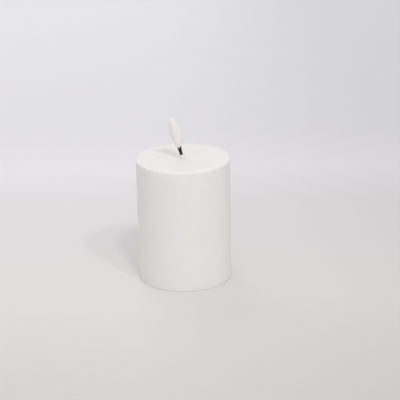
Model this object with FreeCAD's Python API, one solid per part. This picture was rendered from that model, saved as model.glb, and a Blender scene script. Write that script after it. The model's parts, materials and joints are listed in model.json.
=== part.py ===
import FreeCAD, Part
import math
import os

# Flameless LED pillar candle, in millimetres. +Z is up, and the origin is the centre of the resting face.
# A cast wax shell stands over a moulded base. The base holds two AA cells side by side behind a hinged
# door, a small timer board with a slide switch, and a tube that carries the lamp leads up to a bendable
# black wick. The wick ends in a fork that holds an LED cast into a frosted flame.
# -X is the side that the wick leans to, and -Y is the front, where the switch is.

V = FreeCAD.Vector
X_AXIS, Y_AXIS, Z_AXIS = V(1, 0, 0), V(0, 1, 0), V(0, 0, 1)

# Shared
fit_gap = 0.05
moulding_gap = 0.2
edge_break = 0.25

# Wax shell
candle_radius = 37.5
wax_foot = 0.4
wax_top = 100.0
wax_ceiling = 93.0
cavity_radius = 33.0
rim_round = 1.3
foot_round = 0.5
ceiling_round = 6.0
wick_hole_radius = 3.0
wick_hole_top = 98.4
dimple_low_radius = 2.05
dimple_mouth_radius = 2.7

# Base housing
plate_low = 0.8
plate_high = 3.0
flange_radius = 35.4
foot_ring_inner = 33.2
wall_outer = 32.8
wall_inner = 31.4
wall_top = 22.4
bay_half_length = 27.3
bay_half_width = 14.9
bay_wall = 1.1
bay_roof_low = 18.5
bay_roof_high = 19.7
saddle_places = (-15.0, 0.0, 15.0)
saddle_half = 0.6
saddle_low = 13.4
saddle_gap = 0.15
screw_x = 18.5
screw_y = 21.3
screw_well_radius = 2.3
screw_hole_radius = 1.3
screw_seat = 2.0
post_x = 12.0
post_y = -22.7
post_radius = 1.9
pilot_radius = 0.9
pilot_bottom = 6.3

# Battery door
door_left = -27.8
door_half_width = 15.4
door_thickness = 1.8
hinge_x = 27.9
hinge_z = 1.7
hinge_edge_radius = 0.9
hinge_pin_radius = 0.6
hinge_socket_radius = 0.68
hinge_pin_end = 16.9
door_rib_half = 0.5
door_rib_left = -16.0
door_rib_right = 24.5
door_rib_height = 0.8
door_cross_height = 0.5
door_rib_places = (-11.0, 0.0, 11.0)
door_cross_places = (-16.0, 4.0, 24.0)
catch_radius = 0.22
catch_gap = 0.08
catch_half = 4.0
tongue_length = 9.0
tongue_half = 5.6
tongue_slot_half = 0.4
thumb_start = 1.6
thumb_end = 8.2
thumb_half = 4.4
thumb_depth = 0.5
grip_count = 4
grip_start = 2.6
grip_pitch = 1.5
grip_width = 0.6
grip_half = 3.6

# AA cells
cell_radius = 7.25
cell_y = 7.35
cell_z = 11.0
jacket_thickness = 0.2
jacket_end = 0.9
cell_negative_x = -23.9
cell_shoulder_x = 24.9
cell_nub_x = 26.3
cell_round = 0.6
nub_radius = 2.75
nub_round = 0.4

# Contacts
contact_thickness = 0.4
contact_face = bay_half_length - contact_thickness
contact_low = 5.5
contact_high = 17.0
contact_half = 5.2
bridge_half = 12.6
button_wide = 2.6
button_narrow = 2.0
tab_half = 1.5
tab_top = 21.6
spring_wire = 0.7
spring_turns = 2.5
spring_wide = 4.6
spring_narrow = 3.0
lead_level = 20.9

# Board and what stands on it
board_low = 9.6
board_high = 10.8
board_half_length = 14.2
board_front = -27.0
board_back = -17.2
board_corner = 1.0
pad_y = -18.5
pad_spacing = 4.0
chip_x = -5.6
chip_y = -24.1
chip_size_x = 3.9
chip_size_y = 5.0
chip_bottom = 0.15
chip_top = 1.6
chip_bevel = 0.25
chip_mark_radius = 0.35
chip_mark_depth = 0.2
chip_mark_inset = 0.8
chip_pitch = 1.27
leg_half = 0.2
leg_thickness = 0.2
leg_knee = 0.45
leg_toe = 1.05
leg_level = 0.65
crystal_x = 9.0
crystal_radius = 0.95
crystal_length = 6.0
crystal_front = -26.4
crystal_round = 0.2
capacitor_x = 5.3
capacitor_y = -24.5
capacitor_radius = 2.0
capacitor_height = 5.4
capacitor_round = 0.35
resistor_places = (3.8, 5.4, 7.0)
resistor_half = 0.45
resistor_front = -21.5
resistor_back = -19.9
resistor_height = 0.5
solder_wide = 1.25
solder_narrow = 0.75
solder_height = 0.9

# Switch
switch_y = -23.0
switch_travel = 2.0
case_half_x = 4.6
case_half_y = 2.8
case_low = 5.2
case_wall = 0.4
case_base = 0.8
lever_half = 1.0
lever_depth = 0.8
slider_half_x = 2.0
slider_half_y = 2.2
slider_low = 5.75
slider_high = 7.4
terminal_places = (-2.0, 0.0, 2.0)
terminal_radius = 0.35
terminal_y = -21.8
terminal_top = 11.4
knob_plate_half_x = 7.6
knob_plate_half_y = 3.1
knob_plate_low = 3.15
knob_plate_high = 4.35
knob_pocket_low = 3.65
knob_grip_half_x = 3.0
knob_grip_half_y = 2.3
knob_grip_low = 1.4
knob_groove_places = (-2.0, -1.0, 0.0, 1.0, 2.0)
knob_groove_half = 0.25
knob_groove_top = 1.8
slot_gap = 0.25

# Screws
housing_head_low = 0.95
housing_head_radius = 2.0
housing_shank_radius = 1.1
housing_shank_end = 9.5
board_head_height = 1.2
board_head_radius = 1.6
board_shank_radius = 0.9
board_shank_end = 6.6
head_round = 0.35
recess_share = 0.6
recess_half = 0.2
recess_depth = 0.5

# Cover and riser tube
cover_low = 22.4
cover_high = 24.0
skirt_depth = 2.0
skirt_gap = 0.1
skirt_thickness = 1.2
boss_radius = 2.9
boss_pilot_top = 11.0
collar_radius = 6.0
collar_top = 32.0
gusset_count = 4
gusset_inner = 4.5
gusset_outer = 17.0
gusset_half = 0.6
riser_outer = 3.6
riser_inner = 2.4
riser_top = 91.5
spigot_depth = 3.0
seat_flange_radius = 5.0
seat_bore = 1.25

# Wick and flame, measured along the wick from the point where it bends
pivot_z = 99.0
wick_lean = 14.5
ball_radius = 1.75
socket_radius = 1.95
boot_start = 0.6
boot_start_radius = 1.62
boot_top = 3.9
boot_top_radius = 1.45
sleeve_bottom = 2.9
sleeve_radius = 1.2
stem_overlap = 0.9
fork_start = 6.6
fork_top = 9.9
prong_radius = 0.72
prong_spread = 0.98
lead_spacing = 0.42
wick_wire_radius = 0.2
wick_wire_inset = 0.3
wick_wire_stop = 0.9
led_bottom = 12.0
led_radius = 1.5
led_body = 2.8
led_flange_radius = 1.7
led_flange = 0.8
leg_half_width = 0.22
leg_start = 9.4
post_level = 13.6
arm_thickness = 0.3
arm_left = -1.2
arm_right = -0.3
cup_place = -0.5
cup_low_radius = 0.4
cup_high_radius = 0.62
cup_height = 0.5
flame_bottom = 9.9
flame_height = 25.5
flame_half = 4.2
flame_foot_power = 0.47
flame_tip_power = 0.5
flame_least_half = 0.3
flame_depth_ratio = 0.84
flame_foot_shift = -0.5
flame_shoulder_shift = 1.18
flame_shoulder = 0.3
flame_tip_shift = -0.6
flame_tip_start = 0.75
flame_sections = 15

# Leads
wire_radius = 0.5
bench_wire_radius = 0.6
bend_share = 0.45
lamp_lead_top = 96.8
lamp_lead_x = 0.56


def cylinder(radius, low, high, x=0.0, y=0.0):
    return Part.makeCylinder(radius, high - low, V(x, y, low))


def bar(radius, low, high, y, z):
    """A cylinder along X."""
    return Part.makeCylinder(radius, high - low, V(low, y, z), X_AXIS)


def ring(outer, inner, low, high, x=0.0, y=0.0):
    return cylinder(outer, low, high, x, y).cut(cylinder(inner, low, high, x, y))


def block(x0, x1, y0, y1, z0, z1):
    return Part.makeBox(x1 - x0, y1 - y0, z1 - z0, V(x0, y0, z0))


def joined(shapes):
    first = shapes[0]
    return first.multiFuse(shapes[1:]).removeSplitter() if len(shapes) > 1 else first


def turned(outline):
    """A solid of revolution about Z from (radius, height) points."""
    points = [V(r, 0, z) for r, z in outline]
    face = Part.Face(Part.makePolygon(points + points[:1]))
    return face.revolve(V(0, 0, 0), Z_AXIS, 360)


def edges_at(shape, radius, height, reach=0.01):
    """The full circles of a solid of revolution at one radius and height."""
    found = []
    for edge in shape.Edges:
        curve = edge.Curve
        if isinstance(curve, Part.Circle) and abs(curve.Radius - radius) < reach:
            if abs(curve.Center.z - height) < reach:
                found.append(edge)
    return found


def wire_tube(points, radius):
    """A round wire along straight runs that tangent arcs join, each arc as large as its runs allow."""
    points = [V(*point) for point in points]
    edges = []
    start = points[0]
    for before, corner, after in zip(points, points[1:], points[2:]):
        back = before - corner
        on = after - corner
        turn = math.pi - back.getAngle(on)
        setback = bend_share * min(back.Length, on.Length)
        bend_radius = setback / math.tan(turn / 2)
        first = corner + back.normalize() * setback
        last = corner + on.normalize() * setback
        inwards = ((first + last) * 0.5 - corner).normalize()
        middle = corner + inwards * (bend_radius / math.cos(turn / 2) - bend_radius)
        edges.append(Part.makeLine(start, first))
        edges.append(Part.Arc(first, middle, last).toShape())
        start = last
    edges.append(Part.makeLine(start, points[-1]))
    section = Part.Wire(Part.makeCircle(radius, points[0], points[1] - points[0]))
    return Part.Wire(edges).makePipeShell([section], True, False)


def circle_edges(shape):
    return [edge for edge in shape.Edges if isinstance(edge.Curve, Part.Circle)]


def low_edges(shape):
    """The straight edges that lie in a block's lowest face."""
    low = shape.BoundBox.ZMin
    return [edge for edge in shape.Edges if edge.BoundBox.ZMax < low + 0.01]


def wax_shell():
    """The cast wax: a cup turned upside down, with a stepped hole for the wick and a step for the flange."""
    body = turned([
        (flange_radius + moulding_gap, wax_foot), (candle_radius, wax_foot), (candle_radius, wax_top),
        (0, wax_top), (0, wax_ceiling), (cavity_radius, wax_ceiling), (cavity_radius, plate_high),
        (flange_radius + moulding_gap, plate_high),
    ])
    body = body.makeFillet(rim_round, edges_at(body, candle_radius, wax_top))
    body = body.makeFillet(foot_round, edges_at(body, candle_radius, wax_foot))
    body = body.makeFillet(ceiling_round, edges_at(body, cavity_radius, wax_ceiling))
    hole = cylinder(wick_hole_radius, wax_ceiling, wick_hole_top)
    throat = cylinder(dimple_low_radius, wick_hole_top, pivot_z)
    mouth = Part.makeCone(dimple_low_radius, dimple_mouth_radius, wax_top - pivot_z, V(0, 0, pivot_z))
    return body.cut(joined([hole, throat, mouth]))


def switch_slot(clearance):
    """The slot that the knob's grip slides in."""
    half_x = knob_grip_half_x + switch_travel + clearance
    half_y = knob_grip_half_y + clearance
    return block(-half_x, half_x, switch_y - half_y, switch_y + half_y, plate_low, plate_high)


def bay_box(extra, low, high):
    half_x, half_y = bay_half_length + extra, bay_half_width + extra
    return block(-half_x, half_x, -half_y, half_y, low, high)


def cell_saddles():
    """Ribs under the bay's roof, cut to the cells' curve."""
    ribs = []
    for x in saddle_places:
        low, high = x - saddle_half, x + saddle_half
        rib = block(low, high, -bay_half_width, bay_half_width, saddle_low, bay_roof_low)
        for y in (-cell_y, cell_y):
            rib = rib.cut(bar(cell_radius + saddle_gap, low, high, y, cell_z))
        ribs.append(rib)
    return joined(ribs)


def at_screws(make):
    """One shape for each of the four housing screws."""
    return [make(x, y) for x in (-screw_x, screw_x) for y in (-screw_y, screw_y)]


def at_posts(make):
    return [make(x, post_y) for x in (-post_x, post_x)]


def base_housing():
    """The moulded base: flange and foot ring, round wall, battery bay, posts and screw wells."""
    plate = cylinder(flange_radius, plate_low, plate_high)
    foot = ring(flange_radius, foot_ring_inner, 0, plate_low)
    foot = foot.makeFillet(edge_break, edges_at(foot, flange_radius, 0) + edges_at(foot, foot_ring_inner, 0))
    wall = ring(wall_outer, wall_inner, plate_high, wall_top)
    bay = bay_box(bay_wall, plate_high, bay_roof_high).cut(bay_box(0, plate_high, bay_roof_low))
    posts = at_posts(lambda x, y: cylinder(post_radius, plate_high, board_low, x, y))
    shell = joined([plate, foot, wall, bay, cell_saddles()] + posts)

    half_door = door_half_width + moulding_gap
    opening = block(door_left - catch_radius - catch_gap, hinge_x + hinge_edge_radius + moulding_gap,
                    -half_door, half_door, plate_low, plate_high)
    half_socket = hinge_pin_end + moulding_gap
    socket = Part.makeCylinder(hinge_socket_radius, 2 * half_socket,
                               V(hinge_x, -half_socket, hinge_z), Y_AXIS)
    cuts = [opening, socket, switch_slot(slot_gap)]
    cuts += at_screws(lambda x, y: cylinder(screw_well_radius, plate_low, screw_seat, x, y))
    cuts += at_screws(lambda x, y: cylinder(screw_hole_radius, screw_seat, plate_high, x, y))
    cuts += at_posts(lambda x, y: cylinder(pilot_radius, pilot_bottom, board_low, x, y))
    for y in (-cell_y, cell_y):
        cuts.append(block(contact_face, bay_half_length, y - tab_half, y + tab_half,
                          bay_roof_low, bay_roof_high))
    return shell.cut(joined(cuts))


def battery_door():
    """A flat door with a rounded hinge edge, two moulded pins, inner ribs and a sprung tongue."""
    top = plate_low + door_thickness
    leaf = block(door_left, hinge_x, -door_half_width, door_half_width, plate_low, top)
    rim = [edge for edge in low_edges(leaf) if edge.BoundBox.XMin < hinge_x - 1]
    leaf = leaf.makeChamfer(edge_break, rim)
    edge = Part.makeCylinder(hinge_edge_radius, 2 * door_half_width,
                             V(hinge_x, -door_half_width, hinge_z), Y_AXIS)
    pin = Part.makeCylinder(hinge_pin_radius, 2 * hinge_pin_end, V(hinge_x, -hinge_pin_end, hinge_z), Y_AXIS)
    ribs = [block(door_rib_left, door_rib_right, y - door_rib_half, y + door_rib_half,
                  top, top + door_rib_height) for y in door_rib_places]
    ribs += [block(x - door_rib_half, x + door_rib_half, door_rib_places[0], door_rib_places[-1],
                   top, top + door_cross_height) for x in door_cross_places]
    catch = Part.makeCylinder(catch_radius, 2 * catch_half,
                              V(door_left, -catch_half, plate_low + door_thickness / 2), Y_AXIS)
    door = joined([leaf, edge, pin, catch] + ribs)
    slots = [block(door_left, door_left + tongue_length, y - tongue_slot_half, y + tongue_slot_half,
                   plate_low, top) for y in (-tongue_half, tongue_half)]
    recess_top = plate_low + thumb_depth
    thumb = block(door_left + thumb_start, door_left + thumb_end, -thumb_half, thumb_half,
                  plate_low, recess_top)
    grips = []
    for n in range(grip_count):
        left = door_left + grip_start + grip_pitch * n
        grips.append(block(left, left + grip_width, -grip_half, grip_half, plate_low, recess_top))
    return door.cut(joined(slots)).cut(thumb).fuse(joined(grips)).removeSplitter()


def housing_cover():
    """The inner lid: disc, locating skirt, four screw bosses, and a ribbed collar for the riser tube."""
    disc = cylinder(wall_outer, cover_low, cover_high)
    skirt_outer = wall_inner - skirt_gap
    skirt = ring(skirt_outer, skirt_outer - skirt_thickness, cover_low - skirt_depth, cover_low)
    collar = cylinder(collar_radius, cover_high, collar_top)
    bosses = at_screws(lambda x, y: cylinder(boss_radius, plate_high, cover_low, x, y))
    gussets = []
    for n in range(gusset_count):
        corners = [V(gusset_inner, -gusset_half, cover_high), V(gusset_outer, -gusset_half, cover_high),
                   V(gusset_inner, -gusset_half, collar_top - 1)]
        face = Part.Face(Part.makePolygon(corners + corners[:1]))
        turn = 45 + 360 / gusset_count * n
        gussets.append(face.extrude(V(0, 2 * gusset_half, 0)).rotate(V(0, 0, 0), Z_AXIS, turn))
    cover = joined([disc, skirt, collar] + bosses + gussets)
    cuts = [cylinder(riser_outer + fit_gap, cover_high, collar_top),
            cylinder(riser_inner, cover_low, cover_high)]
    pilot = housing_shank_radius + fit_gap
    cuts += at_screws(lambda x, y: cylinder(pilot, plate_high, boss_pilot_top, x, y))
    return cover.cut(joined(cuts))


def riser_tube():
    return ring(riser_outer, riser_inner, cover_high, riser_top)


def wick_seat():
    """The ferrule that lines the wax's hole: a spigot for the tube, a flange, and a round socket on top."""
    spigot_low = riser_top - spigot_depth
    body = joined([
        cylinder(riser_inner - fit_gap, spigot_low, riser_top),
        cylinder(seat_flange_radius, riser_top, wax_ceiling),
        cylinder(wick_hole_radius - fit_gap, wax_ceiling, wick_hole_top),
    ])
    socket = Part.makeSphere(socket_radius, V(0, 0, pivot_z))
    return body.cut(cylinder(seat_bore, spigot_low, pivot_z)).cut(socket)


def screw(x, y, head_low, head_high, head_radius, shank_radius, shank_end):
    """A pan-head screw. The shank runs from the head's flat side to shank_end, up or down."""
    up = shank_end > head_high
    outer = head_low if up else head_high
    inner = head_high if up else head_low
    head = cylinder(head_radius, head_low, head_high, x, y)
    rim = [edge for edge in circle_edges(head) if abs(edge.Curve.Center.z - outer) < 0.01]
    head = head.makeFillet(head_round, rim)
    shank = cylinder(shank_radius, min(inner, shank_end), max(inner, shank_end), x, y)
    depth = recess_depth if up else -recess_depth
    low, high = sorted((outer, outer + depth))
    reach = head_radius * recess_share
    recess = [block(x - half_x, x + half_x, y - half_y, y + half_y, low, high)
              for half_x, half_y in ((reach, recess_half), (recess_half, reach))]
    return head.fuse(shank).removeSplitter().cut(joined(recess))


def housing_screws():
    return at_screws(lambda x, y: screw(x, y, housing_head_low, screw_seat, housing_head_radius,
                                        housing_shank_radius, housing_shank_end))


def board_screws():
    return at_posts(lambda x, y: screw(x, y, board_high, board_high + board_head_height, board_head_radius,
                                       board_shank_radius, board_shank_end))


def pad_x(n):
    return (n - 1.5) * pad_spacing


def circuit_board():
    board = block(-board_half_length, board_half_length, board_front, board_back, board_low, board_high)
    upright = [edge for edge in board.Edges if abs(edge.tangentAt(edge.FirstParameter).z) > 0.9]
    board = board.makeFillet(board_corner, upright)
    holes = at_posts(lambda x, y: cylinder(pilot_radius, board_low, board_high, x, y))
    holes += [cylinder(terminal_radius, board_low, board_high, x, terminal_y) for x in terminal_places]
    return board.cut(joined(holes))


def controller_chip():
    half_x = chip_size_x / 2
    half_y = chip_size_y / 2
    top = board_high + chip_top
    body = block(chip_x - half_x, chip_x + half_x, chip_y - half_y, chip_y + half_y,
                 board_high + chip_bottom, top)
    rim = [edge for edge in body.Edges if edge.BoundBox.ZMin > top - 0.1]
    mark = cylinder(chip_mark_radius, top - chip_mark_depth, top,
                    chip_x - half_x + chip_mark_inset, chip_y - half_y + chip_mark_inset)
    return body.makeChamfer(chip_bevel, rim).cut(mark)


def chip_leg(side, y):
    """One gull-wing leg: a shoulder out of the chip, a drop, and a foot on the board."""
    inner, knee, toe = (chip_x + side * (chip_size_x / 2 + reach) for reach in (0, leg_knee, leg_toe))
    back = knee - side * leg_thickness
    top = board_high + leg_level + leg_thickness
    runs = [(inner, knee, top - leg_thickness, top), (back, knee, board_high, top),
            (knee, toe, board_high, board_high + leg_thickness)]
    pieces = []
    for first, last, low, high in runs:
        pieces.append(block(min(first, last), max(first, last), y - leg_half, y + leg_half, low, high))
    return joined(pieces)


def chip_leads():
    """Eight legs, four on each long side."""
    return [chip_leg(side, chip_y + chip_pitch * (n - 1.5)) for side in (-1, 1) for n in range(4)]


def timer_crystal():
    middle = V(crystal_x, crystal_front, board_high + crystal_radius)
    can = Part.makeCylinder(crystal_radius, crystal_length, middle, Y_AXIS)
    return can.makeFillet(crystal_round, circle_edges(can))


def filter_capacitor():
    top = board_high + capacitor_height
    can = cylinder(capacitor_radius, board_high, top, capacitor_x, capacitor_y)
    return can.makeFillet(capacitor_round, edges_at(can, capacitor_radius, top))


def chip_resistors():
    return [block(x - resistor_half, x + resistor_half, resistor_front, resistor_back,
                  board_high, board_high + resistor_height) for x in resistor_places]


def switch_case():
    """The switch's steel can, open where the lever travels, with its insulating top against the board."""
    outer = block(-case_half_x, case_half_x, switch_y - case_half_y, switch_y + case_half_y,
                  case_low, board_low)
    in_x = case_half_x - case_wall
    in_y = case_half_y - case_wall
    inside = block(-in_x, in_x, switch_y - in_y, switch_y + in_y,
                   case_low + case_wall, board_low - case_base)
    half = lever_half + switch_travel + moulding_gap
    window = block(-half, half, switch_y - lever_half, switch_y + lever_half, case_low, case_low + case_wall)
    holes = [cylinder(terminal_radius, board_low - case_base, board_low, x, terminal_y)
             for x in terminal_places]
    return outer.cut(joined([inside, window])).cut(joined(holes))


def switch_terminals():
    return [cylinder(terminal_radius, board_low - case_base, terminal_top, x, terminal_y)
            for x in terminal_places]


def switch_lever():
    """The switch's own slider: a block inside the can and a stub that reaches down into the knob."""
    slider = block(-slider_half_x, slider_half_x, switch_y - slider_half_y, switch_y + slider_half_y,
                   slider_low, slider_high)
    stub = block(-lever_half, lever_half, switch_y - lever_depth, switch_y + lever_depth,
                 knob_pocket_low, slider_low)
    return slider.fuse(stub).removeSplitter()


def switch_knob():
    """The knob: a plate that hides the slot from inside and a ribbed grip that passes through it."""
    plate = block(-knob_plate_half_x, knob_plate_half_x, switch_y - knob_plate_half_y,
                  switch_y + knob_plate_half_y, knob_plate_low, knob_plate_high)
    front = switch_y - knob_grip_half_y
    back = switch_y + knob_grip_half_y
    grip = block(-knob_grip_half_x, knob_grip_half_x, front, back, knob_grip_low, knob_plate_low)
    grip = grip.makeChamfer(edge_break, low_edges(grip))
    grooves = [block(x - knob_groove_half, x + knob_groove_half, front, back, knob_grip_low, knob_groove_top)
               for x in knob_groove_places]
    pocket = block(-lever_half, lever_half, switch_y - lever_depth, switch_y + lever_depth,
                   knob_pocket_low, knob_plate_high)
    return plate.fuse(grip).removeSplitter().cut(joined(grooves + [pocket]))


def cell(side):
    """One AA cell as (can, jacket). Side 1 has its nub at +X, and side -1 at -X."""
    y = -side * cell_y
    inner = cell_radius - jacket_thickness
    can = bar(inner, cell_negative_x, cell_shoulder_x, y, cell_z)
    can = can.makeFillet(cell_round, circle_edges(can))
    nub = bar(nub_radius, cell_shoulder_x, cell_nub_x, y, cell_z)
    nub_rim = [edge for edge in circle_edges(nub) if edge.Curve.Center.x > cell_nub_x - 0.1]
    can = can.fuse(nub.makeFillet(nub_round, nub_rim)).removeSplitter()
    low = cell_negative_x + jacket_end
    high = cell_shoulder_x - jacket_end
    jacket = bar(cell_radius, low, high, y, cell_z).cut(bar(inner, low, high, y, cell_z))
    if side < 0:
        can.rotate(V(0, y, cell_z), Z_AXIS, 180)
        jacket.rotate(V(0, y, cell_z), Z_AXIS, 180)
    return can, jacket


def contact_plate(side, y0, y1):
    """A plate on the bay's end wall, side 1 at +X."""
    x0, x1 = sorted((side * contact_face, side * bay_half_length))
    return block(x0, x1, y0, y1, contact_low, contact_high)


def contact_dimple(side, y):
    """The raised button that meets a cell's nub."""
    direction = V(-side, 0, 0)
    reach = contact_face - cell_nub_x
    return Part.makeCone(button_wide, button_narrow, reach, V(side * contact_face, y, cell_z), direction)


def contact_tab(y):
    return block(contact_face, bay_half_length, y - tab_half, y + tab_half, contact_high, tab_top)


def contact_bridge():
    return contact_plate(-1, -bridge_half, bridge_half).fuse(contact_dimple(-1, cell_y)).removeSplitter()


def contact_positive():
    plate = contact_plate(1, -cell_y - contact_half, -cell_y + contact_half)
    return joined([plate, contact_dimple(1, -cell_y), contact_tab(-cell_y)])


def contact_negative():
    plate = contact_plate(1, cell_y - contact_half, cell_y + contact_half)
    return joined([plate, contact_tab(cell_y)])


def cell_spring(side):
    """A conical contact spring between an end plate and a cell's flat end, side 1 at +X."""
    rise = contact_face + cell_negative_x - spring_wire
    taper = math.degrees(math.atan((spring_narrow - spring_wide) / rise))
    helix = Part.makeHelix(rise / spring_turns, rise, spring_wide, taper)
    section = Part.Wire(Part.makeCircle(spring_wire / 2, V(spring_wide, 0, 0), Y_AXIS))
    coil = Part.Wire(helix).makePipeShell([section], True, True)
    coil.translate(V(0, 0, spring_wire / 2))
    coil.rotate(V(0, 0, 0), Y_AXIS, -90 * side)
    coil.translate(V(side * contact_face, side * cell_y, cell_z))
    return coil


def lead_battery_red():
    return wire_tube([
        (contact_face, -cell_y, lead_level), (19.0, -8.4, 21.1), (12.6, -11.0, 20.9), (8.4, -15.0, 21.2),
        (pad_x(3) + 0.1, pad_y - 0.1, 20.4), (pad_x(3), pad_y, 15.6),
        (pad_x(3) + 0.1, pad_y - 0.1, board_low),
    ], bench_wire_radius)


def lead_battery_black():
    return wire_tube([
        (contact_face, cell_y, lead_level), (19.6, 6.2, 21.1), (13.0, 2.6, 20.9), (8.0, -2.6, 21.1),
        (4.6, -8.6, 20.9), (2.8, -14.6, 21.2), (pad_x(2) + 0.1, pad_y - 0.1, 20.3),
        (pad_x(2), pad_y, 15.4), (pad_x(2) + 0.1, pad_y - 0.1, board_low),
    ], bench_wire_radius)


def lamp_lead(pad, top_x):
    return wire_tube([
        (pad_x(pad) - 0.1, pad_y - 0.1, board_low), (pad_x(pad), pad_y + 0.1, 20.4),
        ((pad_x(pad) + top_x) * 0.4, -10.4, 21.2), (top_x, -0.1, 20.9), (top_x - 0.02, 0, 58.0),
        (top_x, 0, lamp_lead_top),
    ], wire_radius)


def solder_joints():
    """A fillet at each of the four pads where the leads enter the board."""
    return [Part.makeCone(solder_wide, solder_narrow, solder_height, V(pad_x(n), pad_y, board_high))
            for n in range(4)]


def lean(shape):
    """Tips a piece of the wick from upright to the way it stands at rest."""
    shape.rotate(V(0, 0, pivot_z), Y_AXIS, -wick_lean)
    return shape


def along(s, x=0.0):
    """A point on the upright wick, s above its bend."""
    return V(x, 0, pivot_z + s)


def wick_boot():
    """The white foot of the wick: a ball in the seat, and a short cone that grips the black sleeve."""
    ball = Part.makeSphere(ball_radius, along(0))
    cone = Part.makeCone(boot_start_radius, boot_top_radius, boot_top - boot_start, along(boot_start))
    bore = cylinder(sleeve_radius, pivot_z + sleeve_bottom, pivot_z + boot_top)
    return lean(ball.fuse(cone).removeSplitter().cut(bore).cut(wick_wires_upright()))


def prong_points(side):
    """The middle line of one prong: where it leaves the stem, and its tip."""
    return along(fork_start, side * lead_spacing), along(fork_top, side * prong_spread)


def wick_wires_upright():
    """Two bare wires, straight up the stem and then out along the prongs towards the LED's legs."""
    wires = []
    bottom = wick_wire_inset - ball_radius
    for side in (-1, 1):
        bend, tip = prong_points(side)
        reach = tip - bend
        stem = Part.makeCylinder(wick_wire_radius, fork_start - bottom, along(bottom, side * lead_spacing))
        knee = Part.makeSphere(wick_wire_radius, bend)
        branch = Part.makeCylinder(wick_wire_radius, reach.Length - wick_wire_stop, bend, reach)
        wires.append(joined([stem, knee, branch]))
    return Part.makeCompound(wires)


def wick_wires():
    return lean(wick_wires_upright())


def sleeve_upright():
    pieces = [cylinder(sleeve_radius, pivot_z + sleeve_bottom, pivot_z + fork_start + stem_overlap)]
    for side in (-1, 1):
        bend, tip = prong_points(side)
        reach = tip - bend
        pieces.append(Part.makeCylinder(prong_radius, reach.Length, bend, reach))
        pieces.append(Part.makeSphere(prong_radius, tip))
    return joined(pieces)


def wick_sleeve():
    """The black sleeve: a round stem that forks into two short prongs."""
    return lean(sleeve_upright().cut(wick_wires_upright()).cut(led_frame_upright()))


def led_frame_upright():
    """The LED's two legs, with the cup and the post that stand inside the lens."""
    low = pivot_z + leg_start
    high = pivot_z + post_level
    legs = []
    for side in (-1, 1):
        x = side * prong_spread
        legs.append(block(x - leg_half_width, x + leg_half_width, -leg_half_width, leg_half_width, low, high))
    arm = block(arm_left, arm_right, -leg_half_width, leg_half_width, high - arm_thickness, high)
    cup = Part.makeCone(cup_low_radius, cup_high_radius, cup_height, along(post_level, cup_place))
    legs[0] = joined([legs[0], arm, cup])
    return Part.makeCompound(legs)


def led_frame():
    return lean(led_frame_upright())


def led_lens_upright():
    low = pivot_z + led_bottom
    flange = cylinder(led_flange_radius, low, low + led_flange)
    body = cylinder(led_radius, low, low + led_body)
    dome = Part.makeSphere(led_radius, V(0, 0, low + led_body))
    return joined([flange, body, dome])


def led_lens():
    return lean(led_lens_upright().cut(led_frame_upright()))


def flame_half_width(share):
    """Half the flame's width at a share of its height: blunt at the foot, widest low down, a round tip."""
    foot, tip = flame_foot_power, flame_tip_power
    peak = (foot / (foot + tip)) ** foot * (tip / (foot + tip)) ** tip
    return max(flame_least_half, flame_half * share**foot * (1 - share) ** tip / peak)


def flame_offset(share):
    """How far the flame's middle line stands from the wick's line, towards +X."""
    shoulder = math.sin(min(1.0, share / flame_shoulder) * math.pi / 2)
    late = max(0.0, (share - flame_tip_start) / (1 - flame_tip_start))
    return flame_foot_shift + flame_shoulder_shift * shoulder + flame_tip_shift * late**2


def flame_upright():
    sections = []
    for n in range(flame_sections):
        share = 0.5 - 0.5 * math.cos(math.pi * n / (flame_sections - 1))
        half = flame_half_width(share)
        centre = along(flame_bottom + flame_height * share, flame_offset(share))
        ellipse = Part.Ellipse(centre, half, half * flame_depth_ratio)
        sections.append(Part.Wire(ellipse.toShape()))
    return Part.makeLoft(sections, True, False)


def flame():
    """The frosted flame, cast round the LED and the prongs' tips."""
    return lean(flame_upright().cut(sleeve_upright()).cut(led_lens_upright()).cut(led_frame_upright()))


def all_parts():
    first_can, first_jacket = cell(1)
    second_can, second_jacket = cell(-1)
    leads = {
        "lead_battery_red": lead_battery_red(),
        "lead_battery_black": lead_battery_black(),
        "lead_lamp_red": lamp_lead(1, lamp_lead_x),
        "lead_lamp_black": lamp_lead(0, -lamp_lead_x),
    }
    every_lead = joined(list(leads.values()))
    board = circuit_board().cut(every_lead)
    return {
        "wax_shell": wax_shell(),
        "base_housing": base_housing(),
        "housing_cover": housing_cover(),
        "riser_tube": riser_tube(),
        "wick_seat": wick_seat(),
        "housing_screws": housing_screws(),
        "circuit_board": board,
        "board_screws": board_screws(),
        "controller_chip": controller_chip(),
        "chip_leads": chip_leads(),
        "timer_crystal": timer_crystal(),
        "filter_capacitor": filter_capacitor(),
        "chip_resistors": chip_resistors(),
        "solder_joints": [joint.cut(every_lead) for joint in solder_joints()],
        "switch_case": switch_case(),
        "switch_terminals": switch_terminals(),
        "switch_lever": switch_lever(),
        "switch_knob": switch_knob(),
        "contact_bridge": contact_bridge(),
        "contact_positive": contact_positive(),
        "contact_negative": contact_negative(),
        "spring_cell_1": cell_spring(-1),
        "spring_cell_2": cell_spring(1),
        "cell_1_can": first_can,
        "cell_1_jacket": first_jacket,
        "cell_2_can": second_can,
        "cell_2_jacket": second_jacket,
        "battery_door": battery_door(),
        "wick_boot": wick_boot(),
        "wick_sleeve": wick_sleeve(),
        "wick_wires": wick_wires(),
        "led_lens": led_lens(),
        "led_frame": led_frame(),
        "flame": flame(),
        **leads,
    }


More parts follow.
